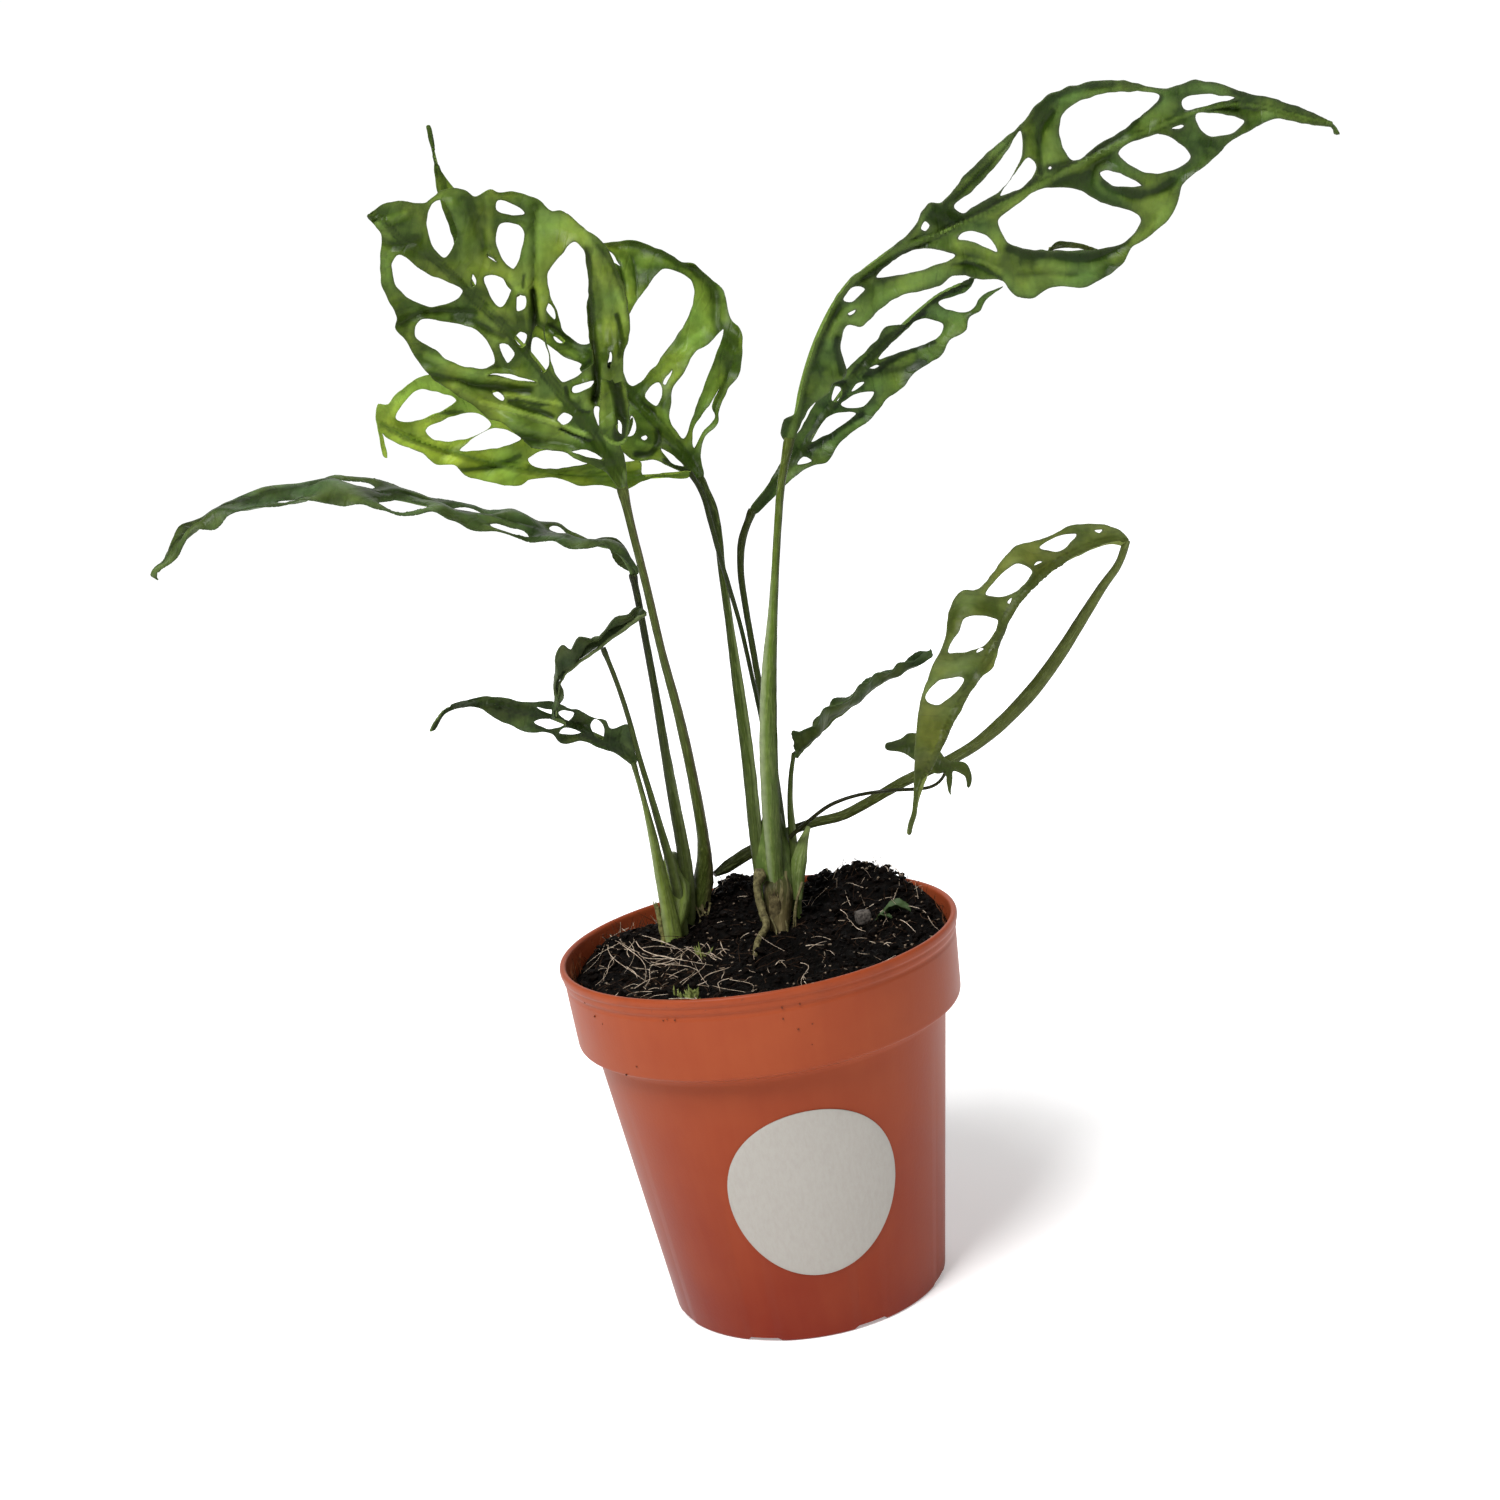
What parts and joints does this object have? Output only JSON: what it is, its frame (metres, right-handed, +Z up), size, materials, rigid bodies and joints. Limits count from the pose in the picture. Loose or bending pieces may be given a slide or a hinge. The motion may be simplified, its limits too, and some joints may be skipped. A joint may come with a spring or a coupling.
{
  "type": "potted monstera obliqua peru",
  "caption": "Lace-leaved aroid house plant with long stems and perforated blades, growing in a round tapered nursery pot with a wide collar and a bare round label.",
  "frame": {"origin": "centre of the pot's base, on the plane that it stands on", "axes": "+Z up along the pot's axis, +X to the plant's right as seen from its front, -Y towards the front, where the label is"},
  "size_m": [0.3433, 0.12, 0.3586],
  "materials": {
    "pot_plastic": "satin",
    "label_paper": "matte",
    "peat": "rough, moist",
    "pebble_stone": "rough",
    "stem_green": "satin, living plant",
    "dry_root": "dry, fibrous",
    "leaf_green": "satin, living plant"
  },
  "bodies": {
    "root": {"pot": "pot_plastic", "label": "label_paper", "soil": "peat", "pebble": "pebble_stone", "stem_upper_left": "stem_green", "stem_long_left": "stem_green", "stem_folded_left": "stem_green", "stem_left_small": "stem_green", "stem_arched_right": "stem_green", "stem_curled_right": "stem_green", "stem_upper_middle": "stem_green", "stem_lower_left": "stem_green", "stem_top_right": "stem_green", "stem_middle_right": "stem_green", "stem_right_small": "stem_green", "aerial_root": "dry_root", "dry_sheath_right": "dry_root", "dry_sheath_left": "dry_root", "seedling": "leaf_green", "leaf_upper_left": "leaf_green", "leaf_upper_middle": "leaf_green", "leaf_lower_left": "leaf_green", "leaf_top_right": "leaf_green", "leaf_middle_right": "leaf_green", "leaf_left_small": "leaf_green", "leaf_arched_right": "leaf_green", "leaf_curled_right": "leaf_green", "leaf_long_left": "leaf_green", "leaf_folded_left": "leaf_green", "leaf_right_small": "leaf_green"}
  },
  "joints": []
}
